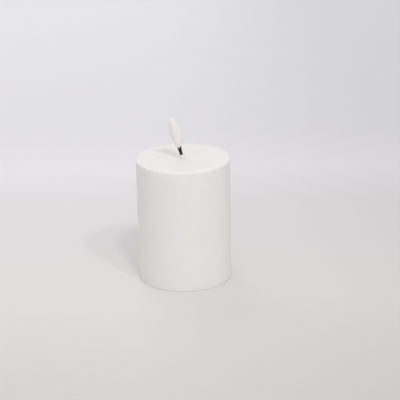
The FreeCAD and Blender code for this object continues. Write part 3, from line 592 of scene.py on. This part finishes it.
def makeWaxShell(sizes):
    radius, foot, top = waxHigh.x, waxLow.z - sizes["footDrop"], waxHigh.z
    seat, cavity = flangeHigh.x + sizes["flangeGap"], sizes["cavityRadius"]
    throat, hole, edge = sizes["throatRadius"], sizes["holeRadius"], sizes["edgeRound"]
    corners = [
        (throat, sizes["holeTop"], 0), (throat, bendPoint.z, sizes["throatRound"]),
        (sizes["mouthRadius"], top, sizes["mouthRound"]), (radius, top, sizes["rimRound"]),
        (radius, foot, sizes["footRound"]), (seat, foot, edge), (seat, sizes["stepHeight"], 0),
        (cavity, sizes["stepHeight"], edge), (cavity, sizes["ceiling"], sizes["innerRound"]),
        (hole, sizes["ceiling"], edge), (hole, sizes["holeTop"], 0), (throat, sizes["holeTop"], 0),
    ]
    mesh = grow("waxShell", latheTree, [outline(corners, sizes["step"])], "castWax", {**sizes, "length": top})
    return settle("waxShell", mesh, "candle", ["wax_shell"])


makeWaxShell(shell)


def meanPlace(name):
    points = [vertex.co for vertex in nodes[name].data.vertices]
    return sum(points, Vector()) / len(points) / millimetre


def wickPlace():
    # wick and flame are built upright from the bend, then leaned as the frame's wick leans
    along = meanPlace("wick_sleeve") - bendPoint
    lean = math.atan2(along.x, along.z)
    return Matrix.Translation(bendPoint) @ Matrix.Rotation(lean, 4, "Y")


leanedPlace = wickPlace()

boot = {"ball": 1.75, "ballTurn": 12, "coneStart": 0.6, "coneRadius": 1.62, "lipRadius": 1.45, "lip": 3.9,
        "lipRound": 0.22, "bore": 1.2, "boreRound": 0.1, "boreBottom": 2.9, "step": 0.3, "around": 48,
        "unevenness": 0.05, "lumpSize": 1.4, "seed": 8.0}


def makeBoot(sizes):
    ball, bore = sizes["ball"], sizes["bore"]
    turns = [math.radians(turn) for turn in range(-90, sizes["ballTurn"], sizes["ballTurn"])]
    points = [Vector((ball * math.cos(turn), 0, ball * math.sin(turn))) for turn in turns]
    points += outline([
        (sizes["coneRadius"], sizes["coneStart"], 0), (sizes["lipRadius"], sizes["lip"], sizes["lipRound"]),
        (bore, sizes["lip"], sizes["boreRound"]), (bore, sizes["boreBottom"], 0), (0, sizes["boreBottom"], 0),
    ], sizes["step"], 5)
    mesh = grow("wickBoot", latheTree, [points], "bootRubber", {**sizes, "length": sizes["lip"]})
    return settle("wickBoot", mesh, "wick", ["wick_boot"], leanedPlace, 50)


makeBoot(boot)

# stem holds (height over the bottom or the fork, share of the radius), and prong (side, rise, share)
sleeve = {
    "bottom": 2.95, "radius": 1.2, "forkStart": 6.6, "forkTop": 10.5, "prongRadius": 0.72, "prongSpread": 1.0,
    "stem": ((0, 0.9), (0.2, 1.0), (0, 1.0), (0.9, 0.8)),
    "prong": ((0.42, 0.0, 1.12), (0.66, 0.35, 1.08), (0.9, 0.7, 1.0), (1.0, 1.0, 0.88)),
    "sides": 28, "step": 0.15, "voxel": 0.1, "smoothPasses": 4, "softness": 0.5,
}


def makeSleeve(sizes):
    # stem and two prongs as round bars, melted into one skin
    fork, side = sizes["forkStart"], sizes["prongSpread"]
    starts = (sizes["bottom"], sizes["bottom"], fork, fork)
    lines = [[Vector((0, 0, start + up)) for start, (up, _) in zip(starts, sizes["stem"])]]
    thick = [sizes["radius"] * share for _, share in sizes["stem"]]
    for x in (-side, side):
        lines.append([Vector((x * out, 0, fork + (sizes["forkTop"] - fork) * rise))
                      for out, rise, _ in sizes["prong"]])
        thick += [sizes["prongRadius"] * share for _, _, share in sizes["prong"]]
    mesh = grow("wickSleeve", sweepTree, lines, "wickRubber", {**sizes, **evenSkin}, thick)
    holder = bpy.data.objects.new("wickSleeveBars", mesh)
    scene.collection.objects.link(holder)
    melt = holder.modifiers.new("melt", "REMESH")
    melt.mode = "VOXEL"
    melt.voxel_size = sizes["voxel"]
    melt.use_smooth_shade = True
    soften = holder.modifiers.new("soften", "SMOOTH")
    soften.factor = sizes["softness"]
    soften.iterations = sizes["smoothPasses"]
    depsgraph = bpy.context.evaluated_depsgraph_get()
    skin = bpy.data.meshes.new_from_object(holder.evaluated_get(depsgraph), depsgraph=depsgraph)
    bpy.data.objects.remove(holder)
    if not skin.materials:
        skin.materials.append(materials["wickRubber"])
    return settle("wickSleeve", skin, "wick", ["wick_sleeve"], leanedPlace, 70)


makeSleeve(sleeve)

flame = {"bottom": 9.9, "height": 25.5, "halfWidth": 4.2, "depthShare": 0.84, "footPower": 0.47,
         "tipPower": 0.5, "footShift": -0.5, "shoulderShift": 1.18, "tipShift": -0.6, "shoulderShare": 0.3,
         "tipStart": 0.75, "around": 96, "rows": 120, "unevenness": 0.06, "lumpSize": 6.0, "seed": 5.0}


def makeFlame(sizes):
    mesh = grow("flame", flameTree, [[Vector()]], "frostedFlame", sizes)
    place = leanedPlace @ Matrix.Translation((0, 0, sizes["bottom"]))
    return settle("flameCover", mesh, "wick", ["flame"], place, 60)


makeFlame(flame)


cell = {
    "shoulderDrop": 1.4, "shoulderRound": 0.9, "nubRadius": 2.75, "nubRound": 0.45, "grooveWidth": 2.0,
    "crimpRadius": 5.4, "crimpWidth": 0.6, "crimpDepth": 0.3, "slope": 0.2, "edgeRound": 0.1, "around": 72,
    "wrapWall": 0.18, "wrapEdge": 0.05, "wrapLip": 0.2,
}


def cellPlace(low, high, side):
    # a cell is built up Z from its flat end; side 1 lays it towards +X, and side -1 towards -X
    middle = (low + high) / 2
    start = Vector((low.x if side > 0 else high.x, middle.y, middle.z))
    turn = Matrix.Rotation(math.pi if side > 0 else 0.0, 4, "Z")
    return Matrix.Translation(start) @ Matrix.Rotation(side * math.pi / 2, 4, "Y") @ turn


def makeCell(number, sizes):
    side = 1 if number == 1 else -1
    canName, jacketName = f"cell_{number}_can", f"cell_{number}_jacket"
    low, high = boxOf(canName)
    radius, length = (high.z - low.z) / 2, high.x - low.x
    shoulder, crimp, nub = length - sizes["shoulderDrop"], sizes["crimpRadius"], sizes["nubRadius"]
    depth, slope, edge = sizes["crimpDepth"], sizes["slope"], sizes["edgeRound"]
    crimpEnd, groove = crimp + sizes["crimpWidth"], nub + sizes["grooveWidth"]
    corners = [
        (0, 0.0, 0), (crimp - depth, 0.0, edge), (crimp, depth, edge), (crimpEnd, depth, edge),
        (crimpEnd + slope, 0.0, edge), (radius, 0.0, sizes["shoulderRound"]),
        (radius, shoulder, sizes["shoulderRound"]), (groove + slope, shoulder, slope),
        (groove, shoulder - depth, edge), (nub + slope, shoulder - depth, slope),
        (nub, length, sizes["nubRound"]), (0, length, 0),
    ]
    values = {**sizes, **evenSkin, "length": length}
    mesh = grow(canName, latheTree, [outline(corners, 2.5, 5)], "cellSteel", values)
    settle(f"cell{number}Can", mesh, "candle", [canName], cellPlace(low, high, side))
    low, high = boxOf(jacketName)
    outer, wrapLength, lip = (high.z - low.z) / 2, high.x - low.x, sizes["wrapLip"]
    inner, bevel = outer - sizes["wrapWall"], sizes["wrapEdge"]
    corners = [
        (inner, 0, 0), (outer - bevel, 0.0, bevel), (outer, lip, edge), (outer, wrapLength - lip, edge),
        (outer - bevel, wrapLength, bevel), (inner, wrapLength, 0), (inner, 0, 0),
    ]
    values["length"] = wrapLength
    mesh = grow(jacketName, latheTree, [outline(corners, 1.5, 2)], "cellWrap", values)
    settle(f"cell{number}Wrap", mesh, "candle", [jacketName], cellPlace(low, high, side))


for number in (1, 2):
    makeCell(number, cell)

spring = {"turns": 3.4, "wide": 4.6, "narrow": 2.6, "wire": 0.7, "flatShare": 0.2, "steps": 150, "sides": 12}


def makeSpring(number, sizes):
    # the wide end sits on the contact plate, and the narrow end on the cell's flat end
    name = f"spring_cell_{number}"
    low, high = boxOf(name)
    side = -1 if number == 1 else 1
    middle = (low + high) / 2
    start = Vector((high.x if side > 0 else low.x, middle.y, middle.z))
    place = Matrix.Translation(start) @ Matrix.Rotation(-side * math.pi / 2, 4, "Y")
    place = place @ Matrix.Translation((0, 0, sizes["wire"] / 2))
    rise = high.x - low.x - sizes["wire"]
    mesh = grow(name, springTree, [[Vector()]], "nickelPlate", {**sizes, "rise": rise})
    settle(f"springCell{number}", mesh, "candle", [name], place, 60)


for number in (1, 2):
    makeSpring(number, spring)


screwSizes = {
    "housing": {"head": 2.0, "headHeight": 1.05, "shank": 1.1, "length": 7.5, "recess": 1.25, "pitch": 0.9},
    "board": {"head": 1.6, "headHeight": 1.2, "shank": 0.9, "length": 4.2, "recess": 1.0, "pitch": 0.75},
}
screwForm = {
    "headRound": 0.45, "edgeRound": 0.1, "core": 0.86, "point": 1.0, "tip": 0.15, "around": 40,
    "slot": 0.42, "recessDepth": 1.1, "recessTaper": 0.55, "threadStart": 0.5, "threadSpare": 1.6,
    "stepsPerTurn": 20, "ridge": 0.18, "leastRidge": 0.02, "runOut": 12, "lastShare": 0.05,
    "sides": 6, "step": 0.3, "mostTurn": 3.0, "seed": 4,
}


def cutCross(master, sizes, form):
    # cuts the cross recess from below; it narrows as it goes in
    work = bmesh.new()
    for turn in (0, math.pi / 2):
        blade = bmesh.ops.create_cube(work, size=1.0)["verts"]
        bmesh.ops.scale(work, verts=blade, vec=(sizes["recess"] * 2, form["slot"], form["recessDepth"]))
        bmesh.ops.rotate(work, verts=blade, matrix=Matrix.Rotation(turn, 3, "Z"))
    for vertex in work.verts:
        if vertex.co.z > 0:
            vertex.co.x *= form["recessTaper"]
            vertex.co.y *= form["recessTaper"]
    bmesh.ops.recalc_face_normals(work, faces=work.faces)
    cutterMesh = bpy.data.meshes.new(master.name + "Recess")
    work.to_mesh(cutterMesh)
    work.free()
    cutter = bpy.data.objects.new(master.name + "Recess", cutterMesh)
    scene.collection.objects.link(cutter)
    cut = master.modifiers.new("recess", "BOOLEAN")
    cut.operation = "DIFFERENCE"
    cut.object = cutter
    cut.solver = "EXACT"
    cut.use_self = True
    depsgraph = bpy.context.evaluated_depsgraph_get()
    done = bpy.data.meshes.new_from_object(master.evaluated_get(depsgraph), depsgraph=depsgraph)
    bpy.data.objects.remove(cutter)
    return done


def screwThread(name, sizes, form):
    # a round ridge that winds up the shank and thins out at both ends
    radius, run = sizes["shank"] * form["core"], sizes["length"] - form["threadSpare"]
    turns = run / sizes["pitch"]
    count = int(turns * form["stepsPerTurn"])
    ridge, thick = [], []
    for n in range(count + 1):
        share = n / count
        angle = share * turns * math.tau
        rise = sizes["headHeight"] + form["threadStart"] + share * run
        ridge.append(Vector((radius * math.cos(angle), radius * math.sin(angle), rise)))
        fade = min(1.0, n / form["runOut"], (count - n) / form["runOut"] + form["lastShare"])
        thick.append(form["ridge"] * fade + form["leastRidge"])
    return grow(name + "Thread", sweepTree, [ridge], "screwSteel", {**form, **evenSkin}, thick)


def makeScrewMaster(name, sizes, form):
    # the head is at height 0 and the shank stands up from it
    head, tall, top = sizes["head"], sizes["headHeight"], sizes["headHeight"] + sizes["length"]
    core, edge = sizes["shank"] * form["core"], form["edgeRound"]
    corners = [(0, 0, 0), (head, 0, form["headRound"]), (head, tall, edge), (core, tall, edge),
               (core, top - form["point"], 0), (form["tip"], top, edge), (0, top, 0)]
    values = {**form, **evenSkin, "length": sizes["length"]}
    mesh = grow(name, latheTree, [outline(corners, 1.0, 6)], "screwSteel", values)
    blank = bpy.data.objects.new(name, mesh)
    scene.collection.objects.link(blank)
    done = cutCross(blank, sizes, form)
    bpy.data.objects.remove(blank)
    whole = bmesh.new()
    whole.from_mesh(done)
    whole.from_mesh(screwThread(name, sizes, form))
    whole.to_mesh(done)
    whole.free()
    master = bpy.data.objects.new(name, done)
    scene.collection.objects.link(master)
    return master


def placeScrews(name, sizes, node, points, place):
    master = makeScrewMaster(name + "Master", sizes, screwForm)
    values = {**screwForm, "piece": master}
    mesh = grow(name, spreadTree, [[point] for point in points], "screwSteel", values)
    bpy.data.objects.remove(master)
    return settle(name, mesh, "candle", [node], place, 40)


low, high = boxOf("housing_screws")
reach = screwSizes["housing"]["head"]
housingPoints = [Vector((x, y, low.z)) for x in (low.x + reach, high.x - reach)
                 for y in (low.y + reach, high.y - reach)]
placeScrews("housingScrews", screwSizes["housing"], "housing_screws", housingPoints, None)

# the board's screws go in from above, so they are placed upside down and turned over about X
low, high = boxOf("board_screws")
reach = screwSizes["board"]["head"]
boardPoints = [Vector((x, -(low.y + high.y) / 2, -high.z)) for x in (low.x + reach, high.x - reach)]
turnedOver = Matrix.Rotation(math.pi, 4, "X")
placeScrews("boardScrews", screwSizes["board"], "board_screws", boardPoints, turnedOver)


# raised marks on the mouldings: half of each round bar stands out of the plastic
marks = {"thick": 0.24, "row": -28.4, "gap": 4.6, "ring": 1.15, "bar": 1.1, "hand": 0.62,
         "arrowPlace": -14.5, "arrowHalf": 2.0, "arrowGap": 2.2, "signReach": 1.4, "signPlace": 20.3,
         "minusShare": 0.94, "doorThick": 1.8, "sides": 10, "step": 0.25}


def circleLine(x, y, z, radius, count=36):
    turns = [n / count * math.tau for n in range(count + 1)]
    return [Vector((x + radius * math.cos(turn), y + radius * math.sin(turn), z)) for turn in turns]


def makeMarks(name, lines, body, finish, sizes):
    thick = [sizes["thick"]] * sum(len(line) for line in lines)
    mesh = grow(name, sweepTree, lines, finish, {**sizes, **evenSkin}, thick)
    return settle(name, mesh, body, [], None, 60)


plateLevel, row, gap = boxOf("battery_door")[0].z, marks["row"], marks["gap"]
switchLines = [
    [Vector((-gap, row - marks["bar"], plateLevel)), Vector((-gap, row + marks["bar"], plateLevel))],
    circleLine(0, row, plateLevel, marks["ring"]),
    circleLine(gap, row, plateLevel, marks["ring"]),
    [Vector((gap, row + marks["hand"], plateLevel)), Vector((gap, row, plateLevel)),
     Vector((gap + marks["hand"], row, plateLevel))],
]
makeMarks("switchMarks", switchLines, "candle", "housingPlastic", marks)

doorLines = []
for n in range(2):
    tip = marks["arrowPlace"] - n * marks["arrowGap"]
    half = marks["arrowHalf"]
    doorLines.append([Vector((tip + half, -half, plateLevel)), Vector((tip, 0, plateLevel)),
                      Vector((tip + half, half, plateLevel))])
makeMarks("doorArrows", doorLines, "door", "doorPlastic", marks)

innerLevel = plateLevel + marks["doorThick"]
signLines = []
for number, side in ((1, 1), (2, -1)):
    y = sum(boxOf(f"cell_{number}_can"), Vector()).y / 2
    reach = marks["signReach"]
    plusX = side * marks["signPlace"]
    minusX = -plusX * marks["minusShare"]
    for x, plus in ((plusX, True), (minusX, False)):
        signLines.append([Vector((x, y - reach, innerLevel)), Vector((x, y + reach, innerLevel))])
        if plus:
            signLines.append([Vector((x - reach, y, innerLevel)), Vector((x + reach, y, innerLevel))])
makeMarks("polaritySigns", signLines, "door", "doorPlastic", marks)


# finishes for the CAD pieces that stay
finishes = {
    "base_housing": "housingPlastic", "housing_cover": "housingPlastic", "battery_door": "doorPlastic",
    "riser_tube": "riserPlastic", "wick_seat": "riserPlastic", "circuit_board": "boardMask",
    "controller_chip": "chipEpoxy", "chip_leads": "tinnedSteel", "timer_crystal": "nickelPlate",
    "filter_capacitor": "capacitorSleeve", "chip_resistors": "resistorGlaze", "solder_joints": "solder",
    "switch_case": "tinnedSteel", "switch_terminals": "tinnedSteel", "switch_lever": "leverPlastic",
    "switch_knob": "knobPlastic", "contact_bridge": "nickelPlate", "contact_positive": "nickelPlate",
    "contact_negative": "nickelPlate", "wick_wires": "wickCopper", "led_lens": "ledEpoxy",
    "led_frame": "tinnedSteel", "lead_battery_red": "redSleeving", "lead_battery_black": "blackSleeving",
    "lead_lamp_red": "redSleeving", "lead_lamp_black": "blackSleeving",
}
for name, finish in finishes.items():
    slots = nodes[name].data.materials
    slots.clear()
    slots.append(materials[finish])
print("finishes given:", len(finishes))


# depth is (distance behind the candle in metres, colour): painted bands of light and shade, brighter and
# darker by distance behind the candle; shade is the painted shade that the right side falls to, standing in
# for light that falls off to the right
floorLook = {
    "half": 6.0, "hole": 0.0368, "sides": 96, "roughness": (0.5, 0.6), "patch": 30.0,
    "shade": 0.876, "shadeStart": -0.06, "shadeEnd": 0.26,
    "depth": (
        (-0.5, (0.80, 0.785, 0.775)), (-0.25, (0.624, 0.610, 0.596)), (-0.05, (0.762, 0.735, 0.728)),
        (0.17, (0.79, 0.762, 0.772)), (0.27, (0.865, 0.843, 0.870)), (0.40, (0.828, 0.811, 0.839)),
        (1.1, (0.925, 0.91, 0.94)),
    ),
}


def makeFloor(look):
    # a pale round sheet, open under the candle and clear when it is seen from below; its colour is painted
    # light and shade, in bands by depth and darker to the right
    mesh = bpy.data.meshes.new("floor")
    sides = look["sides"]
    rings = []
    for radius in (look["hole"], look["half"]):
        rings += circleLine(0, 0, 0, radius, sides)[:-1]
    faces = [(n, sides + n, sides + (n + 1) % sides, (n + 1) % sides) for n in range(sides)]
    mesh.from_pydata(rings, [], faces)
    floor = bpy.data.objects.new("floor", mesh)
    scene.collection.objects.link(floor)
    made, tree, shader = startMaterial("paleFloor")
    place = addNode(tree, "ShaderNodeTexCoord").outputs["Object"]
    parts = addNode(tree, "ShaderNodeSeparateXYZ", {0: place}).outputs
    nearest, farthest = look["depth"][0][0], look["depth"][-1][0]
    share = addNode(tree, "ShaderNodeMapRange", {
        "Value": parts["Y"], "From Min": nearest, "From Max": farthest}).outputs["Result"]
    # painted shade: the floor colour darkens towards +X, standing in for light falling off
    shade = addNode(tree, "ShaderNodeMapRange", {
        "Value": parts["X"], "From Min": look["shadeStart"], "From Max": look["shadeEnd"],
        "To Min": 1.0, "To Max": look["shade"]}, interpolation_type="SMOOTHSTEP").outputs["Result"]
    # painted light and shade: the ramp makes the floor brighter and darker in bands by distance behind the
    # candle
    stops = [((at - nearest) / (farthest - nearest), colour) for at, colour in look["depth"]]
    pale = ramp(tree, share, stops)
    paintedLightAndShade = addNode(tree, "ShaderNodeVectorMath", {0: pale, "Scale": shade}, operation="SCALE").outputs[0]
    tree.links.new(paintedLightAndShade, shader.inputs["Base Color"])
    patches = cloud(tree, place, look["patch"])
    tree.links.new(spread(tree, patches, *look["roughness"]), shader.inputs["Roughness"])
    clear = addNode(tree, "ShaderNodeBsdfTransparent")
    back = addNode(tree, "ShaderNodeNewGeometry").outputs["Backfacing"]
    mixed = addNode(tree, "ShaderNodeMixShader", {0: back, 1: shader.outputs[0], 2: clear.outputs[0]})
    output = next(item for item in tree.nodes if item.type == "OUTPUT_MATERIAL")
    tree.links.new(mixed.outputs[0], output.inputs["Surface"])
    mesh.materials.append(made)
    print("floor laid, reach", look["half"])


makeFloor(floorLook)

# azimuth is measured from the front towards +X, and the lights look at their aim; lengths in metres
lights = {
    "key": {"azimuth": 14, "height": 55, "reach": 1.3, "size": 0.10, "power": 2.15, "aim": (0, 0, 0.05)},
    "sideKey": {"azimuth": 32, "height": 51, "reach": 1.3, "size": 0.12, "power": 1.95, "aim": (0, 0, 0.05)},
    "left": {"azimuth": -33, "height": 48, "reach": 1.3, "size": 0.3, "power": 0.35, "aim": (0, 0, 0.05)},
    "front": {"azimuth": -2, "height": 20, "reach": 1.6, "size": 1.0, "power": 2.7, "aim": (0, 0, 0.05)},
    "back": {"azimuth": 202, "height": 46, "reach": 1.7, "size": 1.2, "power": 4.4, "aim": (-0.1, 0.55, 0)},
    "under": {"azimuth": -40, "height": -65, "reach": 1.0, "size": 0.8, "power": 5.0, "aim": (0, 0, 0)},
}
worldLook = {"colour": (0.985, 0.99, 1.0), "strength": 0.64}
for name, look in lights.items():
    light = bpy.data.lights.new(name, "AREA")
    light.shape = "SQUARE"
    light.size = look["size"]
    light.energy = look["power"]
    lamp = bpy.data.objects.new(name, light)
    turn, rise = math.radians(look["azimuth"]), math.radians(look["height"])
    flat = math.cos(rise)
    lamp.location = Vector((math.sin(turn) * flat, -math.cos(turn) * flat, math.sin(rise))) * look["reach"]
    lamp.rotation_euler = (Vector(look["aim"]) - lamp.location).to_track_quat("-Z", "Y").to_euler()
    lamp.visible_camera = False
    scene.collection.objects.link(lamp)
print("lights placed:", len(lights))

world = bpy.data.worlds.new("studio")
scene.world = world
world.use_nodes = True
background = world.node_tree.nodes["Background"]
background.inputs["Color"].default_value = (*worldLook["colour"], 1)
background.inputs["Strength"].default_value = worldLook["strength"]

cameraSizes = {
    "lens": 119.4, "sensor": 36.0, "place": (0.0, -1004.7, 427.7),
    "down": 19.908, "turn": -0.744, "roll": -1.2, "clipStart": 0.01, "clipEnd": 50.0,
}
cameraData = bpy.data.cameras.new("camera")
cameraData.lens = cameraSizes["lens"]
cameraData.sensor_width = cameraSizes["sensor"]
cameraData.clip_start = cameraSizes["clipStart"]
cameraData.clip_end = cameraSizes["clipEnd"]
camera = bpy.data.objects.new("camera", cameraData)
aimTurn = Matrix.Rotation(math.radians(cameraSizes["turn"]), 4, "Z")
aimDown = Matrix.Rotation(math.radians(90 - cameraSizes["down"]), 4, "X")
aimRoll = Matrix.Rotation(math.radians(cameraSizes["roll"]), 4, "Z")
cameraPlace = Matrix.Translation(Vector(cameraSizes["place"]) * millimetre)
camera.matrix_world = cameraPlace @ aimTurn @ aimDown @ aimRoll
scene.collection.objects.link(camera)
scene.camera = camera
print("camera set, lens", cameraSizes["lens"])
